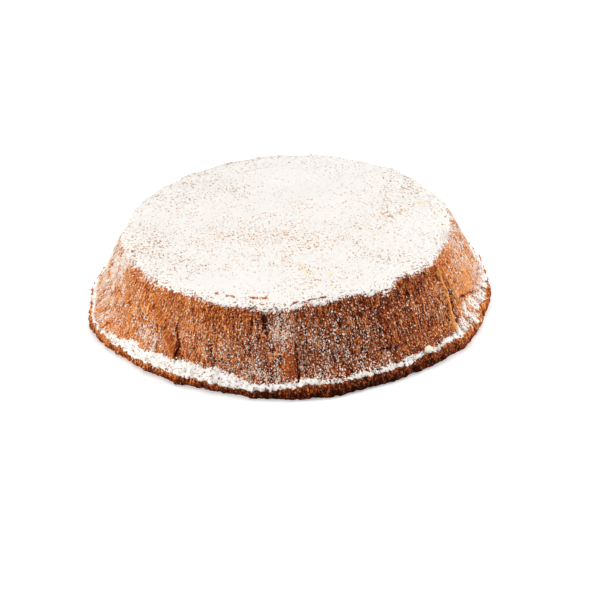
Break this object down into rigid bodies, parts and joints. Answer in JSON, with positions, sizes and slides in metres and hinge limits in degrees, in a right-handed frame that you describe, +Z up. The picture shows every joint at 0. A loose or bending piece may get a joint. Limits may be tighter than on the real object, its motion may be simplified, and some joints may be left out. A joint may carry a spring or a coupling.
{
  "type": "baked cassata",
  "caption": "Round baked cassata turned out of a flared tin: a browned, pleated shortcrust case on a crumbly base rim, with a flat top under a thick dusting of icing sugar.",
  "frame": {"origin": "on the surface that the cake stands on, under the middle of the cake", "axes": "+Z up, -Y towards the side that the picture shows, +X to that side's right"},
  "size_m": [0.2414, 0.2438, 0.0513],
  "materials": {
    "pastry": "matte",
    "icing_sugar": "matte"
  },
  "bodies": {
    "root": {"cake": "pastry"}
  },
  "joints": []
}
